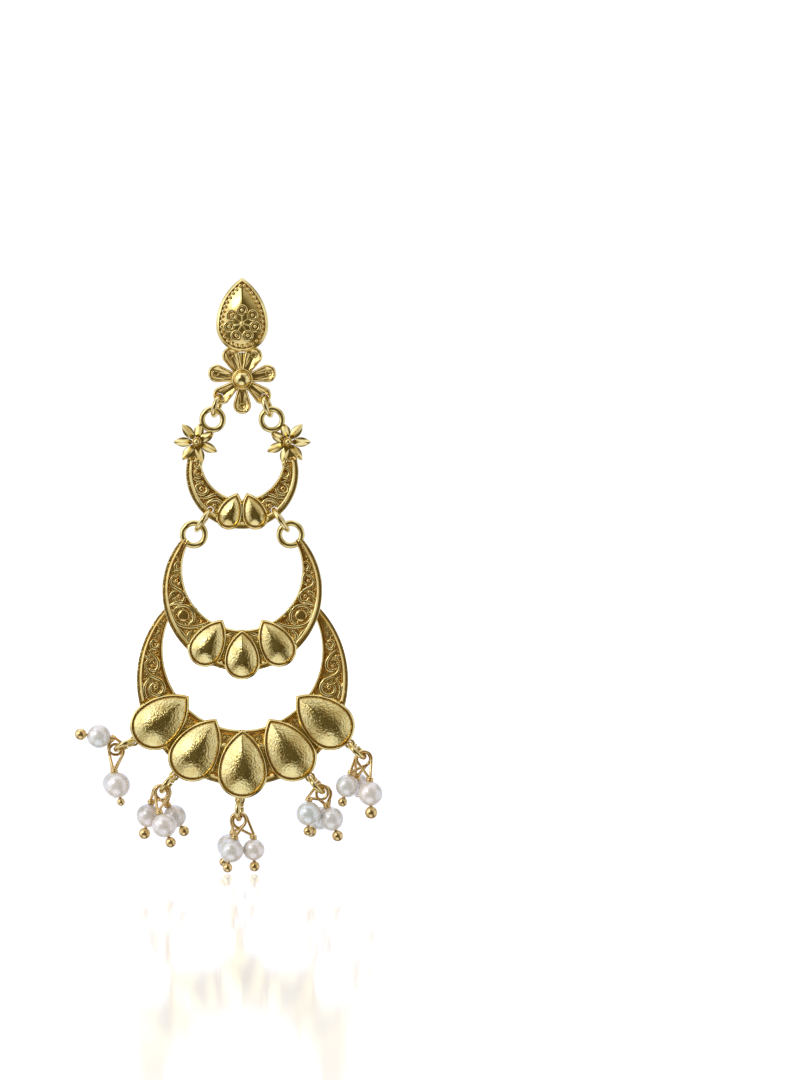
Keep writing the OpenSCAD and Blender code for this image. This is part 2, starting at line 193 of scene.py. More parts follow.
UPPER_DROPS = table(Drop, (-2, -29.8, 1.95, 3.8, -20), (2, -29.8, 1.95, 3.8, 20))
MIDDLE_DROPS = table(Drop, (0, -51.5, 2.75, 4.8, 0), (-5.5, -49.65, 2.7, 5.15, -30),
                     (5.5, -49.65, 2.7, 5.15, 30))
LOWER_DROPS = table(
    Drop, (0, -68.3, 3.8, 6.6, 0), (-7.5, -65.9, 3.7, 6.8, -32), (7.5, -65.9, 3.7, 6.8, 32),
    (-13.2, -61.2, 3.7, 6.85, -49), (13.2, -61.2, 3.7, 6.85, 49),
)

# Scroll beads on the left side: distance left and down from the origin, radius
UPPER_BEADS = ((6.75, 21.9, 0.24), (6.5, 23.4, 0.26), (6.1, 25.6, 0.42), (4.15, 28.15, 0.36))
MIDDLE_BEADS = ((9.3, 36, 0.2), (9.6, 37.2, 0.2), (9.9, 39.4, 0.3), (9.45, 41.7, 0.34),
                (8.8, 44.6, 0.95))
LOWER_BEADS = ((13.1, 48.9, 0.22), (13.55, 52.2, 0.3), (13, 55.4, 0.4))

# Scroll strands on the left side: points on each one's way, as distances left and down
UPPER_STRANDS = (
    ((7.2, 21.5), (6.6, 21.3), (6.2, 21.9), (6.6, 22.4), (7.1, 22.3)),
    ((6.2, 22.4), (6.9, 22.8), (7.1, 23.4), (6.7, 23.9), (6.1, 23.8), (5.9, 23.3)),
    ((7.2, 24.2), (6.4, 24.5), (5.6, 24.9), (5.15, 25.6), (5.5, 26.3), (6.2, 26.45),
     (6.85, 26), (6.9, 25.3), (6.4, 24.95)),
    ((6.6, 27), (5.4, 26.95), (4.5, 26.6), (3.7, 26.45), (2.9, 26.8)),
    ((5.4, 28.6), (5.15, 27.8), (4.4, 27.3), (3.5, 27.35), (2.9, 27.9)),
    ((6.9, 26.9), (6.3, 27.6), (5.9, 28.3)),
)
MIDDLE_STRANDS = (
    ((9.1, 36.7), (9.6, 36.6), (10.05, 37.1), (9.8, 37.7), (9.2, 37.6)),
    ((10, 37.9), (9.5, 38.2), (9.2, 38.8), (9.15, 39.5), (9.55, 39.95)),
    ((9.7, 38.6), (10.4, 38.8), (10.75, 39.5), (10.4, 40.2), (9.7, 40.6), (8.95, 41.1),
     (8.55, 41.8), (8.9, 42.5), (9.6, 42.5), (10, 42)),
    ((11, 42), (10.6, 41.4), (10, 41)),
    ((10.9, 43.1), (10.1, 42.75), (9.3, 42.8)),
    ((10.3, 44), (9.8, 43.4), (8.8, 43.1), (7.8, 43.5), (7.25, 44.4), (7.35, 45.4), (7.9, 45.9)),
    ((10.5, 43.8), (10.35, 44.9), (9.7, 45.8), (8.7, 46.25), (7.5, 46.35), (6.2, 46.1), (4.9, 45.6)),
    ((9.7, 46.4), (9, 47.2), (8.4, 48.1)),
    ((7.6, 46.9), (8.1, 47.5), (8, 48.2)),
    ((7.9, 43), (7, 43.7), (6.3, 44.8)),
    ((2.7, 47.6), (1.9, 47.5), (1.2, 47.3)),
)
LOWER_STRANDS = (
    ((12.8, 48.5), (13.3, 48.3), (13.75, 48.8), (13.5, 49.5), (12.9, 49.5), (12.6, 49)),
    ((13.9, 49.9), (13.4, 50.4), (12.95, 50.9), (12.6, 51.7), (12.7, 52.5), (13.3, 52.95),
     (13.9, 52.7)),
    ((13.5, 51.2), (14.2, 51.3), (14.6, 52), (14.4, 52.9), (13.8, 53.6), (13, 54),
     (12.2, 54.4), (11.75, 55.2), (11.95, 56.1), (12.8, 56.6), (13.6, 56.3), (13.9, 55.6),
     (13.5, 54.95), (12.8, 54.9)),
    ((14.1, 54.2), (14.6, 55), (14.75, 56), (14.4, 56.9)),
    ((15.3, 54.4), (15, 55.3), (15.2, 56.2)),
    ((14.9, 50.6), (14.3, 50.9), (14, 50.7)),
    ((3.4, 64.2), (2.5, 64), (1.6, 64.3)),
)

# Drop rings: slant in degrees from straight down towards +X
DROP_RINGS = table(Ring, (-16.15, -63.45, -65), (-10.15, -68.55, -38.5), (-0.4, -72.05, -3),
                   (9.95, -68.75, 41.5), (15.9, -63.75, 47))
DROP_TURN = 12
DROP_GAP = 108
RING_Y = 2.6
RING_R = 1.45
RING_LEAD = 0.34

# Eyelets of the drop rings: radius, wire, how far up from the ring's top, foot behind the teardrop
EYELET_R = 0.62
EYELET_WIRE = 0.18
EYELET_RISE = 0.04
FOOT_RISE = 0.84
FOOT_R = 0.3

PEARLS = table(
    Pearl,
    (0, -21.6, 1.6, -62.8, 1.8, -24.05, 1.4, -62.5, 0.9, 2.6),
    (0, -18.8, 1, -70.1, 1.95, -18.3, 0.9, -72.4, 0.6, 2),
    (0, -19.4, 5, -70, 1.8, -19.3, 6.8, -71.8, 0.6, 3.2),
    (1, -14.25, 3.4, -74.8, 1.8, -14.8, 3.4, -77.4, 0.88, 2.6),
    (1, -11.75, 0.7, -76.15, 1.85, -10.8, 0.5, -78.6, 0.82, 2),
    (1, -10.3, 4.2, -74.95, 1.75, -9, 4.4, -77, 0.82, 3.2),
    (2, -1.65, 1.4, -80, 1.8, -2.2, 1.2, -82.3, 0.75, 2),
    (2, -2.15, 5.2, -79.4, 1.8, -2.9, 5.4, -81.8, 0.72, 3.2),
    (2, 1.65, 2.8, -79.9, 1.65, 1.75, 2.8, -82.1, 0.8, 2.6),
    (3, 9.9, 1.2, -74.4, 1.85, 9.85, 1, -76.8, 0.72, 2),
    (3, 13.35, 2.4, -75.25, 1.8, 14.2, 2.4, -77.6, 0.85, 2.6),
    (3, 11.6, 5.8, -75.3, 1.75, 10.1, 6.9, -77.5, 0.85, 3.2),
    (4, 15.7, 2.6, -70.3, 1.75, 15.1, 2.6, -72.4, 0.72, 2.6),
    (4, 19.2, 1.2, -71.4, 1.85, 19.3, 1, -73.9, 0.95, 2),
    (4, 17.2, 6, -70.2, 1.75, 17.3, 8, -71.7, 0.6, 3.2),
)

# Pearls: bore, rings from the middle to the bore, unevenness and its waves, seed step
BORE = 0.34
PEARL_RINGS = 22
UNEVEN = 0.014
UNEVEN_WAVES = 0.55
PEARL_SEED = Vector((5.3, 1.7, 0))

# Ball pins: gap to the ball, way from the pearl to the neck, room in the loop, radii of the solid pin,
# of the wire and of the loop, half width of the neck, then the wrapping
BALL_GAP = 0.04
PIN_LEAD = 0.6
LOOP_ROOM = 0.16
SOLID_PIN = 0.24
PIN_WIRE = 0.23
LOOP_R = 1.1
LOOP_STEPS = 40
NECK = 0.12
WRAP_R = 0.36
WRAP_LENGTH = 0.42
WRAP_STEPS = 22
WRAP_SIDES = 14

# Metals: property of the colour, roughness, fineness of the grain, strength of the hammering
METALS = {
    "cast_gold": ("bright", 0.18, 5200, 0.9),
    "ring_gold": ("wire", 0.17, 3800, 0),
    "pin_gold": ("pin", 0.27, 3600, 0),
    "post_plate": ("post", 0.2, 3000, 0),
}
SPREAD = 0.05
DULLER = 0.12
SMUDGED = (0.86, 0.78, 0.62)

# Studio, in metres: floor's radius, distances between which its glow grows, picture height, camera
WHITE = (1, 1, 1, 1)
PAPER = 1.05
FLOOR_R = 6.0
GLOW_FROM = 0.25
GLOW_TO = 1.2
VIEW_HEIGHT = 0.162
CAMERA_X = 0.0244
CAMERA_Z = -0.0333

# Cards that the metal mirrors: direction, angle where each fades out, angle where it is full, strength
CARDS = (
    ((0, 1, 0.02), 74, 40, 0.78),
    ((-0.12, -0.42, -0.9), 40, 20, 0.95),
    ((-0.735, -0.394, 0.551), 46, 18, 0.96),
    ((-0.6, -0.6, 0.53), 14, 5, 1.1),
    ((0.65, -0.391, 0.65), 38, 10, 0.5),
    ((0, -1, 0.02), 34, 6, 0.04),
    ((0, 0.1, 0.98), 48, 20, 1.0),
    ((-0.97, -0.1, -0.1), 46, 20, 0.8),
    ((0.97, -0.1, -0.1), 46, 20, 0.8),
)
CARD_UNIT = 0.75

# Lamps: name, place, width, height, share of the light; all aim at one point
LAMPS = (
    ("left_box", (-0.75, -0.42, 0.52), 0.5, 0.7, 1),
    ("right_box", (0.68, -0.42, 0.60), 0.3, 0.35, 0.35),
    ("front_box", (-0.22, -0.92, 0.22), 0.3, 0.3, 0.12),
    ("near_lamp", (-0.50, -0.75, 0.35), 0.16, 0.16, 0.10),
    ("back_box", (0.1, 0.9, 0.7), 0.9, 0.6, 0.7),
)
LAMP_AIM = Vector((0, 0, -0.045))


def colour(name, description, default):
    """Property that holds a colour."""
    return FloatVectorProperty(name=name, description=description, default=default, subtype="COLOR",
                               min=0, max=1)


class CastingSizes(bpy.types.PropertyGroup):
    """Sizes of the cast gold pieces."""

    rim: FloatProperty(name="Rim", description="Width of a raised edge line", default=0.00036, min=0.0002,
                       max=0.0005, precision=5, unit="LENGTH")
    groove: FloatProperty(name="Groove", description="Width of the dark groove inside a teardrop's rim",
                          default=0.00010, min=0.00005, max=0.0003, precision=5, unit="LENGTH")
    hammer: FloatProperty(name="Hammering", description="Depth of the hammer marks on the domes",
                          default=0.000007, min=0, max=0.0001, precision=6, unit="LENGTH")
    sides: IntProperty(name="Sides", description="Facets round a teardrop", default=80, min=40, max=120)
    stations: IntProperty(name="Stations", description="Steps along a crescent", default=140, min=60,
                          max=240)


class MetalFinish(bpy.types.PropertyGroup):
    """Colours of the plated metal."""

    bright: colour("Gold plate", "Colour of the raised gold", (0.89, 0.73, 0.265))
    # Colour of the patina, also used as painted shade in grooves, seams and at the feet of raised parts
    recess: colour("Recess", "Colour of the darkened field", (0.95, 0.58, 0.13))
    wire: colour("Rings", "Colour of the jump rings", (0.90, 0.74, 0.30))
    pin: colour("Pins", "Colour of the ball pins", (0.90, 0.66, 0.26))
    post: colour("Post", "Colour of the ear post", (0.80, 0.68, 0.42))


class PearlLook(bpy.types.PropertyGroup):
    """Colours of the pearls."""

    warm: colour("Warm white", "Cream side of a pearl", (0.80, 0.70, 0.62))
    cool: colour("Cool white", "Bluish side of a pearl", (0.64, 0.67, 0.63))


class StudioSetup(bpy.types.PropertyGroup):
    """Camera and lights."""

    distance: FloatProperty(name="Camera distance", description="From the earring to the camera",
                            default=1.0, min=0.5, max=3, unit="LENGTH")
    key: FloatProperty(name="Light", description="Power of the larger lights", default=5.0, min=0, max=50)
    fill: FloatProperty(name="Fill", description="Strength of the even light", default=0.5, min=0, max=5)
    glow: FloatProperty(name="Floor glow", description="Light of the floor itself near the earring",
                        default=0.38, min=0, max=2)
    far_glow: FloatProperty(name="Far floor glow", description="Light of the floor far from the earring",
                            default=0.95, min=0, max=2)
    dark: FloatProperty(name="Room", description="What the metal mirrors between the cards", default=0.065,
                        min=0, max=5)
    shade: colour("Shade", "Colour between the cards", (1.0, 0.78, 0.36))
    card: colour("Cards", "Colour of the cards", (0.75, 0.79, 1.0))
    floor: FloatProperty(name="Floor", description="Height of the floor", default=-0.08335, max=0,
                         precision=4, unit="LENGTH")


def at(x, y, z=0.0):
    """Place at a point, without a turn."""
    return Matrix.Translation((x, y, z))


def spun(angle, axis="Z"):
    """Turn about an axis."""
    return Matrix.Rotation(angle, 4, axis)


def in_scene(name, data):
    """New object of the scene."""
    made = bpy.data.objects.new(name, data)
    bpy.context.scene.collection.objects.link(made)
    return made


def to_object(form, name):
    """Makes a form an object of the scene."""
    mesh = bpy.data.meshes.new(name)
    form.to_mesh(mesh)
    form.free()
    return in_scene(name, mesh)


def blank():
    """Empty form whose marks tell metal darkened by patina and painted shade, and grainy domes, from raised
    smooth metal.
    """
    form = bmesh.new()
    for mark in MARKS:
        form.verts.layers.float.new(mark)
    return form


def move(form, matrix):
    """Moves a whole form."""
    bmesh.ops.transform(form, matrix=matrix, verts=form.verts)


def face_out(form):
    """Turns the faces of closed parts outwards."""
    bmesh.ops.recalc_face_normals(form, faces=form.faces)


def add(form, part, place=FLAT):
    """Sets a closed part into a form."""
    move(part, place)
    face_out(part)
    mesh = bpy.data.meshes.new("part")
    part.to_mesh(mesh)
    part.free()
    form.from_mesh(mesh)
    bpy.data.meshes.remove(mesh)


def both_sides(form, make, place):
    """Sets a part on the left side and its mirror image on the right."""
    add(form, make(), place)
    add(form, make(), MIRROR @ place)


def standing(a, b):
    """Stands a part up along the way from one point to another."""
    turn = Vector((0, 0, 1)).rotation_difference(Vector(b) - Vector(a))
    return Matrix.Translation(a) @ turn.to_matrix().to_4x4()


def downwards(slant):
    """Unit x and height of a way that leans from straight down towards +X."""
    a = radians(slant)
    return sin(a), -cos(a)


def along(spot, slant, reach):
    """Point some way from a spot, down a leaning way."""
    dx, dz = downwards(slant)
    return spot.x + dx * reach, spot.z + dz * reach


def finish_piece(form, name, kind, node, body):
    """Makes a form a piece that rides on a body and stands for a CAD node."""
    bmesh.ops.dissolve_degenerate(form, dist=SLIVER, edges=form.edges)
    move(form, MM)
    for face in form.faces:
        face.smooth = True
    piece = to_object(form, name)
    piece.data.set_sharp_from_angle(angle=CREASE)
    piece.data.materials.append(finish_of(kind))
    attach(piece, body)
    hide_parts(node)


def finish_casting(form, back, node, body):
    """Stands a casting upright, its height towards the viewer, and makes it a piece."""
    move(form, at(0, back) @ spun(pi / 2, "X"))
    finish_piece(form, f"{body}_casting", "cast_gold", node, body)


def turned_form(profile, steps, turn=FULL_TURN):
    """Spins a profile of (radius, height) or (radius, height, darkness) about the Z axis; the darkness is
    patina and painted shade.
    """
    form = blank()
    mark = form.verts.layers.float["recess"]
    verts = []
    for radius, height, *recess in profile:
        verts.append(form.verts.new((radius, 0, height)))
        verts[-1][mark] = sum(recess)
    edges = [form.edges.new(pair) for pair in zip(verts, verts[1:])]
    full = turn == FULL_TURN
    bmesh.ops.spin(form, geom=verts + edges, axis=(0, 0, 1), cent=(0, 0, 0), angle=turn, steps=steps,
                   use_merge=full, use_duplicate=False)
    if full:
        bmesh.ops.remove_doubles(form, verts=form.verts, dist=SEAM)
    return form


def hoop(radius, thick, steps=56, sides=14):
    """Closed ring of round wire about the Z axis."""
    form = blank()
    upright = at(radius, 0) @ spun(pi / 2, "X")
    bmesh.ops.create_circle(form, cap_ends=False, segments=sides, radius=thick, matrix=upright)
    bmesh.ops.spin(form, geom=form.verts[:] + form.edges[:], axis=(0, 0, 1), cent=(0, 0, 0),
                   angle=FULL_TURN, steps=steps, use_merge=True, use_duplicate=False)
    return form


def ball(radius, place, across):
    """Ball with a number of facets round it."""
    form = blank()
    bmesh.ops.create_uvsphere(form, u_segments=across, v_segments=across // 2, radius=radius, matrix=place)
    return form


def wire(path, radii, sides=12):
    """Round wire with closed ends along a path, with one radius or one for each point."""
    form = blank()
    path = [Vector(p) for p in path]
    radii = radii if isinstance(radii, list) else [radii] * len(path)
    last = len(path) - 1
    ways = [(path[min(i + 1, last)] - path[max(i - 1, 0)]).normalized() for i in range(last + 1)]
    turn = Vector((0, 0, 1)).rotation_difference(ways[0])
    ring = bmesh.ops.create_circle(form, cap_ends=False, segments=sides, radius=1)["verts"]
    edges = form.edges[:]
    start = edges
    was = FLAT
    for i, point in enumerate(path):
        if i:
            turn = ways[i - 1].rotation_difference(ways[i]) @ turn
            made = bmesh.ops.extrude_edge_only(form, edges=edges)["geom"]
            ring = [g for g in made if isinstance(g, bmesh.types.BMVert)]
            new = set(ring)
            edges = [g for g in made if isinstance(g, bmesh.types.BMEdge) and new.issuperset(g.verts)]
        size = Matrix.Diagonal((radii[i], radii[i], 1, 1))
        now = Matrix.Translation(point) @ turn.to_matrix().to_4x4() @ size
        bmesh.ops.transform(form, matrix=now @ was.inverted(), verts=ring)
        was = now
    bmesh.ops.contextual_create(form, geom=start)
    bmesh.ops.contextual_create(form, geom=edges)
    return form


def tapered(path, radius):
    """Wire that swells along its way and has round ends."""
    path = [Vector(p) for p in path]
    start, middle, end = SWELL
    radii = []
    for i in range(len(path)):
        s = 2 * i / (len(path) - 1)
        radii.append(radius * (start + (middle - start) * s if s < 1 else middle + (end - middle) * (s - 1)))
    first, last, thick, thin = path[0], path[-1], radii[0], radii[-1]
    head = (first - path[1]).normalized()
    tail = (last - path[-2]).normalized()
    for reach, left in ROUND_END:
        path = [first + head * thick * reach, *path, last + tail * thin * reach]
        radii = [thick * left, *radii, thin * left]
    return wire(path, radii)


def smooth_path(points, height):
    """Curve through points of a casting's own plane, given as distances left and down."""
    pts = [Vector((-left, -down, height)) for left, down in points]
    pts = [pts[0] * 2 - pts[1]] + pts + [pts[-1] * 2 - pts[-2]]
    out = [pts[1]]
    for a, b, c, d in zip(pts, pts[1:], pts[2:], pts[3:]):
        for k in range(1, CURVE_STEPS + 1):
            t = k / CURVE_STEPS
            out.append((b * 2 + (c - a) * t + (a * 2 - b * 5 + c * 4 - d) * t * t
                        + (b * 3 - a - c * 3 + d) * t * t * t) * 0.5)
    return out


def side_centre(r, tip):
    """How far the middle of a teardrop's long side arc lies beyond its round middle."""
    return (tip * tip - r * r) / (2 * r)


def outline_point(r, c, t):
    """Point of a teardrop's outline, t running from the tip round the left side."""
    big = r + c
    top = acos(min(1, c / big))
    if t < SIDE:
        a = top * (1 - t / SIDE)
        return c - big * cos(a), big * sin(a)
    if t < 1 - SIDE:
        a = pi * (1 + (t - SIDE) / (1 - 2 * SIDE))
        return r * cos(a), r * sin(a)
    a = top * (t - 1 + SIDE) / SIDE
    return big * cos(a) - c, big * sin(a)


def outline_inset(x, y, r, c):
    """How far a point lies inside a teardrop's outline."""
    return r - hypot(x, y) if y < 0 else r + c - hypot(abs(x) + c, y)


def to_teardrop(form, r, c, hammer=0.0, edge=0.0, seed=0.0):
    """Draws a turned dish out into a teardrop and hammers its dome."""
    grain = form.verts.layers.float["grain"]
    for v in form.verts:
        rho = hypot(v.co.x, v.co.y)
        if rho > SEAM:
            t = ((atan2(v.co.y, v.co.x) - pi / 2) / FULL_TURN) % 1.0
            v.co.x, v.co.y = outline_point(rho, c, t)
        if hammer and r - rho > edge and v.co.z > FLOOR:
            v[grain] = min(1, r / GRAINY_R) ** 2
            where = Vector((v.co.x, v.co.y, seed)) * HAMMER_WAVES
            v.co.z += hammer * (noise.noise(where) + 0.5 * noise.noise(where * FINER))


def crest(r, width, top):
    """Rim of some width inside a radius, sloping outwards, with painted shade at its inner foot."""
    return [(r, top - 0.75 * width), (r - 0.02, top - 0.7 * width),
            (r - 0.35 * width, top - 0.36 * width), (r - 0.68 * width, top - 0.05 * width),
            (r - 0.78 * width, top), (r - 0.9 * width, top - 0.04), (r - width, top - 0.14, 0.4)]


def dome_profile(r, edge, low, high):
    """Rings of a dome from its edge to its middle."""
    shares = [k / DOME_RINGS for k in range(DOME_RINGS + 1)]
    return [((r - edge) * (1 - s), low + (high - low) * sin(pi / 2 * s) ** FULLNESS) for s in shares]


def teardrop(drop, swell, sizes, seed):
    """Domed teardrop with a raised rim and a groove inside it, painted dark as patina and painted shade."""
    r = drop.r
    rim = sizes.rim * PER_METRE
    groove = rim + sizes.groove * PER_METRE
    profile = [(0, 0), (r * 0.5, 0), (r - 0.06, 0), (r, 0.14), *crest(r, rim, EDGE + 0.02),
               (r - rim, FLOOR, 1), (r - groove + 0.02, FLOOR, 1), (r - groove + 0.01, FLOOR + 0.14, 0.4),
               *dome_profile(r, groove, FLOOR + 0.2, FLOOR + swell)]
    form = turned_form(profile, sizes.sides)
    to_teardrop(form, r, side_centre(r, drop.tip), sizes.hammer * PER_METRE, groove + 0.1, seed)
    return form


def lift_back(form, lift, i):
    """Lifts a part's flat back a little, so that no two backs share a plane."""
    low = min(v.co.z for v in form.verts) + 0.01
    for v in form.verts:
        if v.co.z < low:
            v.co.z += lift[0] + lift[1] * i
    return form


def drop_place(drop):
    """Where a teardrop lies in its casting's plane."""
    return at(drop.x, drop.z) @ spun(radians(drop.lean))


def tuck_under(form, drops, depth):
    """Lowers what would come up through a teardrop."""
    for drop in drops:
        back = drop_place(drop).inverted()
        c = side_centre(drop.r, drop.tip)
        for v in form.verts:
            p = back @ v.co
            if v.co.z > depth and outline_inset(p.x, p.y, drop.r, c) > 0.1:
                v.co.z = depth


def tuck_ends(form):
    """Lowers the ends of the upper crescent under its star flowers."""
    reach, fade, low, rise = 2.4, 0.6, 0.6, 0.8
    for v in form.verts:
        far = hypot(abs(v.co.x) + STAR[0], v.co.y - STAR[1])
        share = min(1, max(0, (far - reach) / fade))
        v.co.z = min(v.co.z, low + rise * share * share * (3 - 2 * share))


def band_point(b, u, side, d):
    """Point of a crescent at a share of its length, a distance in from its outer or inner edge."""
    def edge(r, z):
        rise = asin((b.top_z - z) / r)
        a = pi - rise + (pi + 2 * rise) * u
        return Vector((r * cos(a), z + r * sin(a), 0))
    outer, inner = edge(b.outer_r, b.outer_z), edge(b.inner_r, b.inner_z)
    across = inner - outer
    width = across.length
    scale = min(1, width / FULL_WIDTH)
    if side == "outer":
        return outer + across * (d * scale / width)
    if side == "inner":
        return inner - across * (d * scale / width)
    start, stop = BORDER * scale, INNER_LINE * scale
    return outer + across * ((start + (width - start - stop) * d) / width)


def band(b, sizes):
    """Crescent with a sloping border, a raised line along each edge and a sunk field."""
    line = 0.7 + sizes.rim * PER_METRE
    low = FLOOR - SUNK
    core = 10
    # Rows along the crescent: distance in from the edge, height, darkness. The darkness on the border's
    # slope is painted shade; in the grooves and at the feet of the edge lines it is patina with painted
    # shade
    outer = ((0, 0, 0), (0, 0.8, 0), (0.03, 0.92, 0), (0.08, 0.99, 0), (0.14, 1.01, 0.3), (0.4, 1.02, 0.5),
             (0.58, 1.03, 0.7), (0.62, 1.12, 0.2), (0.72, 1.26, 0), (0.8, EDGE + 0.03, 0),
             (0.86, EDGE + 0.05, 0), (0.93, EDGE + 0.02, 0), (line - 0.02, EDGE - 0.07, 0),
             (line, EDGE - 0.2, 0.5), (line + 0.01, low, 1))
    inner = ((0.72, low, 1), (0.68, 1.12, 0.3), (0.62, 1.24, 0), (0.52, 1.26, 0), (0.46, 1.18, 0.1),
             (0.4, 1.04, 0.8), (0.34, 1.04, 0.8), (0.3, 1.18, 0.1), (0.25, EDGE - 0.04, 0), (0.18, EDGE, 0),
             (0.1, EDGE - 0.06, 0), (0.01, EDGE - 0.18, 0), (0, EDGE - 0.24, 0), (0, 0, 0))
    rows = [("outer", *row) for row in outer] + [("field", share, low, tone) for share, tone in FIELD_TONES]
    rows += [("inner", *row) for row in inner]
    form = turned_form([(core + i, row[2], row[3]) for i, row in enumerate(rows)], sizes.stations, pi)
    grain = form.verts.layers.float["grain"]
    for v in form.verts:
        side, inwards, height, _ = rows[round(hypot(v.co.x, v.co.y) - core)]
        u = min(1, max(0, atan2(max(v.co.y, 0), v.co.x) / pi))
        v.co = band_point(b, u, side, inwards)
        v.co.z = height
        if side == "field":
            v.co.z += RELIEF * noise.noise(v.co * RELIEF_WAVES)
            v[grain] = 2
        elif side == "outer" and 0.1 < inwards < 0.6:
            v[grain] = 1
    back = [e for e in form.edges if e.is_boundary and all(abs(v.co.z) < SEAM for v in e.verts)
            and not all(abs(v.co.y - b.top_z) < SLIVER for v in e.verts)]
    bmesh.ops.bridge_loops(form, edges=back)
    bmesh.ops.holes_fill(form, edges=form.edges, sides=0)
    return form


def drilled(form, holes):
    """Drills round holes of (x, z, radius) through a plate."""
    face_out(form)
    drills = bmesh.new()
    for x, z, radius in holes:
        bmesh.ops.create_cone(drills, cap_ends=True, segments=40, radius1=radius, radius2=radius, depth=6,
                              matrix=at(x, z, 0.5))
    plate, tool = to_object(form, "plate"), to_object(drills, "drills")
    cut = plate.modifiers.new("drill", "BOOLEAN")
    cut.operation, cut.object, cut.solver = "DIFFERENCE", tool, "EXACT"
    done = bpy.data.meshes.new_from_object(plate.evaluated_get(bpy.context.evaluated_depsgraph_get()))
    out = bmesh.new()
    out.from_mesh(done)
    for mark in MARKS:
        if mark not in out.verts.layers.float:
            out.verts.layers.float.new(mark)
    for mesh in (plate.data, tool.data, done):
        bpy.data.meshes.remove(mesh)
    return out


def strand(points):
    """Raised scroll strand on the left side, with painted shade along its foot."""
    form = tapered(smooth_path(points, FLOOR + 0.1), STRAND)
    mark = form.verts.layers.float["recess"]
    for v in form.verts:
        if v.co.z < FLOOR + 0.06:
            v[mark] = 1
    return form


def button(bead):
    """Low round boss in the eye of a scroll on the left side, painted half dark on top and with painted
    shade round its steep foot.
    """
    left, down, r = bead
    foot, rise = FLOOR - 0.1, min(0.3, r) + 0.1
    form = turned_form([(r * sin(a), foot + rise * cos(a) ** 0.6, 0.9 if a > 1.2 else 0.45)
                        for a in (1.57, 1.45, 1.3, 1.05, 0.8, 0.55, 0.3, 0.0)], 24)
    bmesh.ops.holes_fill(form, edges=form.edges, sides=0)
    move(form, at(-left, -down))
    return form


def crescent(b, drops, beads, strands, holes):
    """Crescent with its scrolls and its teardrops, in its own plane."""
    form = blank()
    sizes = bpy.context.scene.earring_castings
    plate = band(b, sizes)
    tuck_under(plate, drops, FLOOR - 0.3)
    if b is UPPER_BAND:
        tuck_ends(plate)
    add(form, drilled(plate, [(side * x, z, r) for x, z, r in holes for side in (1, -1)]))
    for make, rows in ((button, beads), (strand, strands)):
        for row in rows:
            for place in (FLAT, MIRROR):
                part = make(row)
                move(part, place)
                tuck_under(part, drops, FLOOR - 0.2)
                add(form, part)
    for i, drop in enumerate(drops):
        add(form, lift_back(teardrop(drop, b.swell, sizes, SEED_STEP * i), DROP_LIFT, i), drop_place(drop))
    return form


def link_hole(hang):
    """Middle of the hole that a jump ring goes through, just under the ring's top."""
    return along(hang, -hang.slant, HOLE_DROP)


def hang_eye(hang):
    """Middle of the eye that hangs from a jump ring."""
    return along(hang, -hang.slant, 2 * hang.ring_r - SEAT + hang.eye_r)


def hanging_eyes(form, hang):
    """Sets the two eyes that hang from a pair of jump rings into a form."""
    both_sides(form, lambda: hoop(hang.eye_r + EYE_EXTRA, EYE_WIRE + EYE_EXTRA), at(*hang_eye(hang), EYE_H))


def petal_edge(phi, middle):
    """Distance from a petal's cup to its edge in a direction."""
    if sin(phi) >= 0:
        return PETAL_R
    dx, dy = cos(phi), sin(phi)
    foot = FOOT_Y - middle
    best = foot / dy
    for side in (1, -1):
        cross = dx * foot - dy * side * (FOOT_HALF - PETAL_R)
        if abs(cross) > SEAM:
            reach = side * PETAL_R * foot / cross
            if reach > 0:
                best = min(best, reach)
    return best


def petal(hole):
    """Cupped petal along +Y with a raised rim and fine lines, and a small ring or a hole in its cup."""
    middle = PETAL - PETAL_R
    # The cup is painted a little dark as patina and painted shade
    rings, start, top, deep, tone = 12, 0.72, 0.84, 0.34, 0.35
    line_depth, line_gap, fall = 0.012, 0.36, 0.06
    shares = [1 - k / rings for k in range(rings + 1)]
    form = turned_form([*PETAL_RIM, *((start * s, top - deep * (1 - s * s), tone) for s in shares)], 96)
    for v in form.verts:
        rho = hypot(v.co.x, v.co.y)
        phi = atan2(v.co.y, v.co.x)
        reach = petal_edge(phi, middle) * rho
        v.co.x, v.co.y = reach * cos(phi), middle + reach * sin(phi)
        if v.co.z > 0.3 and rho < 0.85:
            v.co.z += line_depth * cos(v.co.x * FULL_TURN / line_gap)
            v.co.z -= fall * max(0, middle - v.co.y) / middle
    if hole:
        return drilled(form, [hole])
    add(form, hoop(0.42, 0.11, 32, 10), at(0, middle + 0.2, 0.6))
    return form


def leaf(length):
    """Leaf-shaped petal along +X, hollowed on both sides of its ridge, with painted shade in the hollows."""
    edge, root, ridge = 0.88, 0.3, 2
    form = turned_form([(0, 0), (1, 0), (1, 0.5), (1, edge - 0.1), (0.94, edge),
                        (0.86, ridge), (0.7, ridge, 0.15), (0.5, ridge, 0.15), (0.32, ridge),
                        (0.16, ridge), (0.07, ridge), (0, ridge)], 40)
    for v in form.verts:
        u = max(-0.999, min(0.999, v.co.x))
        side = v.co.y / sqrt(1 - u * u)
        if v.co.z > 1:
            v.co.z = edge + (0.5 - 0.09 * (u + 1)) * (1 - abs(side)) ** 1.9 * (1 - u ** 6)
        v.co.x = root + (length - root) * (1 + u) / 2
        v.co.y = LEAF_HALF * (1 - u * u) ** 1.15 * (1 + 0.12 * u) * side
    return form


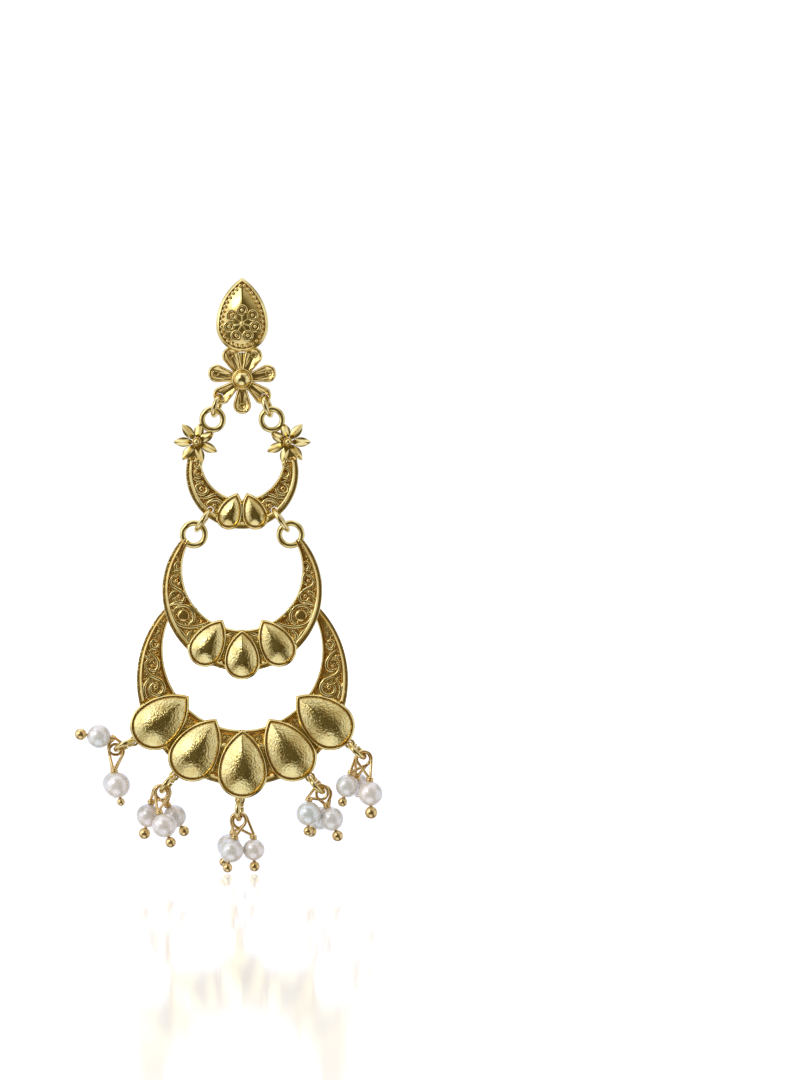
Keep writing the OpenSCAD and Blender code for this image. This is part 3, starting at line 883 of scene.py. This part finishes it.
def star_flower(form, place):
    """Seven leaves round a small button; those under an eye are short."""
    for i in range(LEAVES):
        part = leaf(SHORT_LEAF if i in SHORT_LEAVES else LEAF)
        add(form, lift_back(part, LEAF_LIFT, i), place @ spun(radians(129 + i * 360 / LEAVES)))
    disc = turned_form([(0, 0.15), (0.66, 0.15), (0.66, 1.14, 0.6), (0.58, 1.22, 0.6),
                        (0, 1.24, 0.6)], 28)
    add(form, disc, place)
    add(form, ball(0.5, at(0, 0, 1.28), 20), place)


def stud_cup(form, place):
    """Pointed cup with a rim, a beaded border and seven small rosettes on its dome."""
    c = side_centre(CUP_R, CUP_TIP)
    rim, field, high = 0.5, 1.2, 2.2
    core, circle = 0.3, 2.0
    inner = CUP_R - rim - 0.06
    profile = [(0, 0), (CUP_R * 0.5, 0), (CUP_R - 0.06, 0), (CUP_R, 0.06),
               *crest(CUP_R, rim, 1.56), (CUP_R - rim - 0.02, field - 0.08, 1), (inner, field - 0.08, 1),
               *dome_profile(CUP_R, CUP_R - inner, field + 0.04, high)]
    dish = turned_form(profile, bpy.context.scene.earring_castings.sides)
    to_teardrop(dish, CUP_R, c)
    # Painted shade in the groove inside the rim, under the border beads and round the ring of rosettes
    mark = dish.verts.layers.float["recess"]
    for v in dish.verts:
        inset = outline_inset(v.co.x, v.co.y, inner, c)
        ring = abs(hypot(v.co.x, v.co.y - core) - circle)
        if v.co.z > field:
            v[mark] = max(v[mark], 0.75 - abs(inset - 0.3) * 1.6, 0.6 - ring * 0.6, 0)
    add(form, dish, place)

    def up(x, y):
        share = min(1, max(0, outline_inset(x, y, inner, c) / inner))
        return field + (high - field) * sin(pi / 2 * share)

    for i in range(BORDER_BEADS):
        x, y = outline_point(inner - 0.24, c, (i + 0.5) / BORDER_BEADS)
        add(form, ball(0.3, at(x, y, up(x, y) + 0.17), 16), place)
    for i in range(ROSETTES):
        a = i * FULL_TURN / ROSETTES
        x, y = circle * sin(a), core + circle * cos(a)
        spot = at(x, y, up(x, y))
        add(form, hoop(0.66, 0.23, 30, 10), place @ spot @ at(0, 0, 0.16))
        add(form, ball(0.32, spot, 14), place @ at(0, 0, 0.2))
        near = Vector((x, y - core, 0)) * 0.62 + Vector((0, core, 0))
        add(form, tapered([(0, core, high), (near.x, near.y, up(near.x, near.y) + 0.06)], 0.16), place)
    add(form, ball(0.4, at(0, core, high), 18), place)


def jump_ring(edge, slant, depth, r, gap, turn):
    """Jump ring that hangs from its top wire, turned a little about its own slant."""
    dx, dz = downwards(slant)
    down = Vector((dx, 0, dz))
    away = Matrix.Rotation(radians(turn), 3, down) @ Vector((0, 1, 0))
    centre = Vector((edge[0], depth, edge[1])) + down * r
    path = []
    for i in range(RING_STEPS + 1):
        b = radians(gap + OPENING / 2 + (360 - OPENING) * i / RING_STEPS)
        path.append(centre + down * (r * cos(b)) + away * (r * sin(b)))
    return wire(path, LINK_WIRE, 14)


def pin_points(p):
    """Pearl middle, ball middle, pin top and loop middle of one pearl drop."""
    pearl = Vector((p.x, p.y, p.z))
    up = (pearl - Vector((p.ball_x, p.ball_y, p.ball_z))).normalized()
    low = pearl - up * (p.r + p.ball_r + BALL_GAP)
    top = pearl + up * (p.r + PIN_LEAD)
    ring = DROP_RINGS[p.ring]
    x, z = along(ring, ring.slant, RING_LEAD + RING_R + sqrt(RING_R ** 2 - (p.loop_y - RING_Y) ** 2))
    hook = Vector((x, p.loop_y, z))
    way = top - hook
    way.y = 0
    return pearl, low, top, hook + way.normalized() * (LOOP_R - SOLID_PIN - LINK_WIRE - LOOP_ROOM)


def connect(node, inputs):
    """Gives a shader node's inputs their values, or links from other nodes' outputs."""
    for key, value in inputs.items():
        if isinstance(value, bpy.types.NodeSocket):
            node.id_data.links.new(value, node.inputs[key])
        else:
            node.inputs[key].default_value = value


def adder(tree):
    """Function that adds a node with its inputs and settings and gives one of its outputs back."""
    def new(kind, out, inputs=None, **settings):
        node = tree.nodes.new("ShaderNode" + kind)
        for key, value in settings.items():
            setattr(node, key, value)
        connect(node, inputs or {})
        return node.outputs[out]
    return new


def new_material(name):
    """New material, the function that adds nodes to it, and its shader."""
    material = bpy.data.materials.new(name)
    material.use_nodes = True
    tree = material.node_tree
    return material, adder(tree), tree.nodes["Principled BSDF"]


def noisy_metal(name, bright, recess, rough, grain, hammered):
    """Plated metal: smudges, fine scratches, satin grain, and recesses darkened with patina and painted
    shade.
    """
    material, new, shader = new_material(name)
    place = new("TexCoord", "Object")
    smudge = new("TexNoise", "Fac", {"Vector": place, "Scale": 700, "Detail": 5})
    fine = new("TexNoise", "Fac", {"Vector": place, "Scale": grain, "Detail": 6, "Roughness": 0.65})
    cells = new("TexNoise", "Fac", {"Vector": place, "Scale": 3000, "Detail": 2.5})
    # Mask of patina and painted shade, which darkens the colour and dulls the gloss
    sunk = new("Attribute", "Fac", attribute_name="recess")
    grainy = new("Attribute", "Fac", attribute_name="grain")
    share = new("MapRange", "Result", {"Value": smudge, "From Min": 0.42, "From Max": 0.68})
    dim = [part * left for part, left in zip(bright, SMUDGED)]
    tone = new("Mix", 2, {0: share, 6: (*bright, 1), 7: (*dim, 1)}, data_type="RGBA")
    deep = new("Mix", 2, {0: sunk, 6: tone, 7: (*recess, 1)}, data_type="RGBA")
    gloss = new("MapRange", "Result", {"Value": fine, "From Min": 0.3, "From Max": 0.7,
                                       "To Min": rough - SPREAD, "To Max": rough + SPREAD})
    dull = new("Math", "Value", {0: sunk, 1: DULLER, 2: gloss}, operation="MULTIPLY_ADD")
    skin = new("Bump", "Normal", {"Strength": 0.4, "Distance": 0.00001, "Height": fine})
    height = new("Math", "Value", {0: cells, 1: grainy}, operation="MULTIPLY")
    marks = new("Bump", "Normal", {"Strength": hammered, "Distance": 0.0001, "Height": height,
                                   "Normal": skin})
    connect(shader, {"Metallic": 1, "Specular Tint": (0.95, 0.85, 0.6, 1), "Coat Weight": 0.7,
                     "Coat Roughness": 0.1, "Base Color": deep, "Roughness": dull, "Normal": marks})
    return material


def nacre(name, warm, cool):
    """Nacre: soft patches of cream and blue-grey under a smooth lustre."""
    material, new, shader = new_material(name)
    place = new("TexCoord", "Object")
    patch = new("TexNoise", "Fac", {"Vector": place, "Scale": 130, "Detail": 2})
    skin = new("TexNoise", "Fac", {"Vector": place, "Scale": 1500, "Detail": 3})
    share = new("MapRange", "Result", {"Value": patch, "From Min": 0.25, "From Max": 0.75})
    tone = new("Mix", 2, {0: share, 6: (*warm, 1), 7: (*cool, 1)}, data_type="RGBA")
    rough = new("MapRange", "Result", {"Value": skin, "To Min": 0.24, "To Max": 0.32})
    bump = new("Bump", "Normal", {"Strength": 0.04, "Distance": 0.00005, "Height": skin})
    connect(shader, {"Metallic": 0.38, "IOR": 1.5, "Coat Weight": 0.25, "Coat Roughness": 0.12,
                     "Base Color": tone, "Roughness": rough, "Normal": bump})
    return material


def finish_of(kind):
    """The shared material of one kind, made when it is first asked for."""
    if kind in bpy.data.materials:
        return bpy.data.materials[kind]
    scene = bpy.context.scene
    if kind in METALS:
        bright, *values = METALS[kind]
        return noisy_metal(kind, getattr(scene.earring_metal, bright), scene.earring_metal.recess, *values)
    return nacre(kind, scene.earring_pearl.warm, scene.earring_pearl.cool)


def make_floor(setup):
    """Makes the pale floor, which glows more far from the earring, so that no horizon shows."""
    disc = bmesh.new()
    bmesh.ops.create_circle(disc, cap_ends=True, segments=64, radius=FLOOR_R, matrix=at(0, 0, setup.floor))
    ground = to_object(disc, "pale_floor")
    paint, new, shader = new_material("floor_white")
    away = new("VectorMath", "Value", {0: new("TexCoord", "Object")}, operation="LENGTH")
    fade = new("MapRange", "Result", {"Value": away, "From Min": GLOW_FROM, "From Max": GLOW_TO,
                                      "To Min": setup.glow, "To Max": setup.far_glow})
    connect(shader, {"Base Color": (0.9, 0.9, 0.9, 1), "Roughness": 0.06, "Emission Color": WHITE,
                     "Emission Strength": fade})
    ground.data.materials.append(paint)
    ground.visible_glossy = False


def make_world(setup):
    """Makes white paper for the camera, an even fill, and a dark room with soft cards for the metal."""
    world = bpy.data.worlds.new("studio")
    bpy.context.scene.world = world
    world.use_nodes = True
    nodes, new = world.node_tree.nodes, adder(world.node_tree)
    connect(nodes["Background"], {"Color": WHITE, "Strength": PAPER})
    fill = new("Background", 0, {"Color": WHITE, "Strength": setup.fill})
    way = new("TexCoord", "Generated")
    total = setup.dark
    for aim, start, full, strength in CARDS:
        dot = new("VectorMath", "Value", {0: way, 1: Vector(aim).normalized()}, operation="DOT_PRODUCT")
        card = new("MapRange", "Result", {"Value": dot, "From Min": cos(radians(start)),
                                          "From Max": cos(radians(full)),
                                          "To Max": strength / CARD_UNIT}, interpolation_type="SMOOTHSTEP")
        total = new("Math", "Value", {0: total, 1: card})
    mood = new("Mix", 2, {0: total, 6: (*setup.shade, 1), 7: (*setup.card, 1)}, data_type="RGBA")
    room = new("Background", 0, {"Color": mood, "Strength": total})
    mirrored = new("MixShader", 0, {0: new("LightPath", "Is Glossy Ray"), 1: fill, 2: room})
    seen = new("MixShader", 0, {0: new("LightPath", "Is Camera Ray"), 1: mirrored,
                                2: nodes["Background"].outputs[0]})
    connect(nodes["World Output"], {"Surface": seen})


def make_lamps(setup):
    """Makes the soft lamps, of which the metal mirrors only the near one."""
    for name, spot, wide, tall, share in LAMPS:
        data = bpy.data.lights.new(name, "AREA")
        data.shape = "RECTANGLE"
        data.size, data.size_y, data.energy = wide, tall, setup.key * share
        lamp = in_scene(name, data)
        lamp.location = spot
        lamp.visible_glossy = name == "near_lamp"
        lamp.rotation_euler = (LAMP_AIM - Vector(spot)).to_track_quat("-Z", "Y").to_euler()


def make_camera(setup):
    """Makes the camera at the photograph's viewing angle."""
    data = bpy.data.cameras.new("photo_view")
    data.sensor_width = 36
    data.lens = data.sensor_width * setup.distance / VIEW_HEIGHT
    camera = in_scene("photo_view", data)
    camera.location = (CAMERA_X, -setup.distance, CAMERA_Z)
    camera.rotation_euler = (pi / 2, 0, 0)
    bpy.context.scene.camera = camera
    bpy.context.scene.view_settings.view_transform = "Standard"


class EARRING_OT_stud(bpy.types.Operator):
    """Make the stud: pointed cup, seven cupped petals and the ball in their middle"""

    bl_idname = "earring.stud"
    bl_label = "Stud"

    def execute(self, context):
        form = blank()
        x, z = link_hole(STUD_HANG)
        for i in range(PETALS):
            place = at(0, FLOWER_Z) @ spun(pi + i * FULL_TURN / PETALS)
            spots = [place.inverted() @ Vector((side * x, z, 0)) for side in (1, -1)]
            spot = min(spots, key=lambda p: abs(p.x))
            part = petal((spot.x, spot.y, HOLE) if i in HOOKED else None)
            add(form, lift_back(part, PETAL_LIFT, i), place)
        boss = turned_form([(0, 0.1), (1.55, 0.1), (1.6, 0.16), (1.6, 0.94, 0.6), (1.54, 1.0, 0.6),
                            (0, 1.0, 0.6)], 48)
        add(form, boss, at(0, FLOWER_Z))
        add(form, hoop(1.3, 0.3, 48, 12), at(0, FLOWER_Z, 1.0))
        add(form, ball(1.3, at(0, FLOWER_Z, 1.35), 40))
        stud_cup(form, at(0, CUP_Z))
        add(form, wire([(0, FLOWER_Z + 1.4, 0.5), (0, FLOWER_Z + 4, 0.5)], 0.42, 16))
        finish_casting(form, 0, "ear_stud", "stud")
        return {"FINISHED"}


class EARRING_OT_post(bpy.types.Operator):
    """Make the ear post with its pad and the notch that a clutch grips"""

    bl_idname = "earring.post"
    bl_label = "Ear post"

    def execute(self, context):
        form = turned_form(POST, 32)
        face_out(form)
        move(form, spun(-pi / 2, "X"))
        finish_piece(form, "post_wire", "post_plate", "ear_post", "stud")
        return {"FINISHED"}


class EARRING_OT_links(bpy.types.Operator):
    """Make the four jump rings between the stud, the upper and the middle crescent"""

    bl_idname = "earring.links"
    bl_label = "Jump rings"

    def execute(self, context):
        for body, hang, turn in LINKS:
            for side, word in ((1, "left"), (-1, "right")):
                form = blank()
                edge = (side * hang.x, hang.z)
                add(form, jump_ring(edge, -side * hang.slant, -EYE_H, hang.ring_r, LINK_GAP, turn))
                finish_piece(form, f"{body}_ring_{word}", "ring_gold", f"{body}_link_{word}", body)
        return {"FINISHED"}


class EARRING_OT_upper(bpy.types.Operator):
    """Make the upper crescent with its hanging eyes and two star flowers"""

    bl_idname = "earring.upper"
    bl_label = "Upper crescent"

    def execute(self, context):
        form = crescent(UPPER_BAND, UPPER_DROPS, UPPER_BEADS, UPPER_STRANDS,
                        [(*link_hole(UPPER_HANG), HOLE)])
        for place in (at(*STAR), MIRROR @ at(*STAR)):
            star_flower(form, place)
        hanging_eyes(form, STUD_HANG)
        finish_casting(form, 0, "upper_crescent", "upper")
        return {"FINISHED"}


class EARRING_OT_middle(bpy.types.Operator):
    """Make the middle crescent with its hanging eyes and the staples behind it"""

    bl_idname = "earring.middle"
    bl_label = "Middle crescent"

    def execute(self, context):
        form = crescent(MIDDLE_BAND, MIDDLE_DROPS, MIDDLE_BEADS, MIDDLE_STRANDS,
                        [(*hang_eye(UPPER_HANG), UPPER_HANG.eye_r - EYE_WIRE - LAP)])
        hanging_eyes(form, UPPER_HANG)
        staple = at(STAPLE.x, STAPLE.z, EYE_H - LOWER_BACK) @ spun(pi / 2, "Y")
        both_sides(form, lambda: hoop(STAPLE.r, LINK_WIRE), staple)
        finish_casting(form, 0, "middle_crescent", "middle")
        return {"FINISHED"}


class EARRING_OT_lower(bpy.types.Operator):
    """Make the lower crescent with its eyes and the eyelets for the drop rings"""

    bl_idname = "earring.lower"
    bl_label = "Lower crescent"

    def execute(self, context):
        form = crescent(LOWER_BAND, LOWER_DROPS, LOWER_BEADS, LOWER_STRANDS,
                        [(LOWER_EYE.x, LOWER_EYE.z, LOWER_EYE.r - EYE_WIRE - LAP)])
        both_sides(form, lambda: hoop(LOWER_EYE.r, EYE_WIRE), at(LOWER_EYE.x, LOWER_EYE.z, EYE_H))
        height = LOWER_BACK - RING_Y
        for ring in DROP_RINGS:
            down = Vector((*downwards(ring.slant), 0))
            hole = Vector((ring.x, ring.z, height)) + down * RING_LEAD
            add(form, hoop(EYELET_R, EYELET_WIRE, 36, 12), Matrix.Translation(hole - down * EYELET_RISE))
            foot = hole - down * FOOT_RISE
            add(form, wire([foot, foot + Vector((0, 0, 0.4 - height))], FOOT_R, 16))
        finish_casting(form, LOWER_BACK, "lower_crescent", "lower")
        return {"FINISHED"}


class EARRING_OT_drop_rings(bpy.types.Operator):
    """Make the five jump rings that carry the pearls"""

    bl_idname = "earring.drop_rings"
    bl_label = "Drop rings"

    def execute(self, context):
        for i, ring in enumerate(DROP_RINGS):
            form = blank()
            edge = along(ring, ring.slant, RING_LEAD)
            add(form, jump_ring(edge, ring.slant, RING_Y, RING_R, DROP_GAP, DROP_TURN))
            finish_piece(form, f"pearl_ring_{i + 1}", "ring_gold", f"drop_ring_{i + 1}", "lower")
        return {"FINISHED"}


class EARRING_OT_pearls(bpy.types.Operator):
    """Make the fifteen drilled pearls"""

    bl_idname = "earring.pearls"
    bl_label = "Pearls"

    def execute(self, context):
        for i, p in enumerate(PEARLS):
            wide = acos(BORE / p.r)
            end = p.r * 0.9
            arc = [wide * s / PEARL_RINGS for s in range(-PEARL_RINGS, PEARL_RINGS + 1)]
            form = turned_form([(BORE, -end), *((p.r * cos(a), p.r * sin(a)) for a in arc),
                                (BORE, end), (BORE, 0), (BORE, -end)], 48)
            for v in form.verts:
                patch = noise.noise(v.co * UNEVEN_WAVES + PEARL_SEED * i)
                v.co *= 1 - UNEVEN * (0.5 + 0.5 * patch)
            face_out(form)
            pearl, _, top, _ = pin_points(p)
            move(form, standing(pearl, top))
            finish_piece(form, f"bead_{i + 1}", "nacre", f"pearl_{i + 1}", "lower")
        return {"FINISHED"}


class EARRING_OT_pins(bpy.types.Operator):
    """Make the fifteen ball pins, each bent to a loop and wrapped round its neck"""

    bl_idname = "earring.pins"
    bl_label = "Ball pins"

    def execute(self, context):
        for i, p in enumerate(PEARLS):
            pearl, low, top, loop = pin_points(p)
            axis = (top - low).normalized()
            out = Vector((top.x - loop.x, 0, top.z - loop.z))
            touch = acos(min(1, LOOP_R / out.length))
            out.normalize()
            across = Vector((-out.z, 0, out.x))
            bend = [touch + (FULL_TURN - 2 * touch) * k / LOOP_STEPS for k in range(LOOP_STEPS + 1)]
            turn = [loop + out * (LOOP_R * cos(a)) + across * (LOOP_R * sin(a)) for a in bend]
            start, stop = top + across * NECK, top - across * NECK
            path = [low, pearl, top - axis * 0.2]
            path += [start.lerp(turn[0], s) for s in (0.0, 0.33, 0.66)] + turn
            path += [turn[-1].lerp(stop, s) for s in (0.33, 0.66, 1.0)]
            side = across.cross(axis).normalized()
            span = axis.cross(side).normalized()
            for k in range(1, WRAP_STEPS + 1):
                a = k * FULL_TURN / WRAP_SIDES
                way = side * sin(a) - span * cos(a)
                path.append(top - axis * (0.1 + WRAP_LENGTH * k / WRAP_STEPS) + way * WRAP_R)
            form = blank()
            add(form, wire(path, PIN_WIRE))
            add(form, ball(p.ball_r, standing(low, top), 36))
            finish_piece(form, f"ball_pin_{i + 1}", "pin_gold", f"head_pin_{i + 1}", "lower")
        return {"FINISHED"}


class EARRING_OT_studio(bpy.types.Operator):
    """Make the plain pale floor, the soft lights and the camera"""

    bl_idname = "earring.studio"
    bl_label = "Studio"

    def execute(self, context):
        for make in (make_floor, make_world, make_lamps, make_camera):
            make(context.scene.earring_studio)
        return {"FINISHED"}


MAKERS = (EARRING_OT_stud, EARRING_OT_post, EARRING_OT_links, EARRING_OT_upper, EARRING_OT_middle,
          EARRING_OT_lower, EARRING_OT_drop_rings, EARRING_OT_pearls, EARRING_OT_pins, EARRING_OT_studio)


class EARRING_PT_panel(bpy.types.Panel):
    """Lists the pieces of the earring"""

    bl_idname = "EARRING_PT_panel"
    bl_label = "Earring"
    bl_space_type = "VIEW_3D"
    bl_region_type = "UI"
    bl_category = "Earring"

    def draw(self, context):
        for group in ("earring_castings", "earring_metal", "earring_pearl", "earring_studio"):
            box = self.layout.box()
            settings = getattr(context.scene, group)
            for key in settings.bl_rna.properties.keys():
                if key not in ("rna_type", "name"):
                    box.prop(settings, key)
        for maker in MAKERS:
            self.layout.operator(maker.bl_idname)


GROUPS = {"earring_castings": CastingSizes, "earring_metal": MetalFinish, "earring_pearl": PearlLook,
          "earring_studio": StudioSetup}


def register():
    for cls in (*GROUPS.values(), *MAKERS, EARRING_PT_panel):
        bpy.utils.register_class(cls)
    for name, group in GROUPS.items():
        setattr(bpy.types.Scene, name, PointerProperty(type=group))


def unregister():
    for name in GROUPS:
        delattr(bpy.types.Scene, name)
    for cls in reversed((*GROUPS.values(), *MAKERS, EARRING_PT_panel)):
        bpy.utils.unregister_class(cls)


def main():
    register()
    bpy.ops.earring.stud()
    bpy.ops.earring.post()
    bpy.ops.earring.links()
    bpy.ops.earring.upper()
    bpy.ops.earring.middle()
    bpy.ops.earring.lower()
    bpy.ops.earring.drop_rings()
    bpy.ops.earring.pearls()
    bpy.ops.earring.pins()
    bpy.ops.earring.studio()


if __name__ == "__main__":
    main()
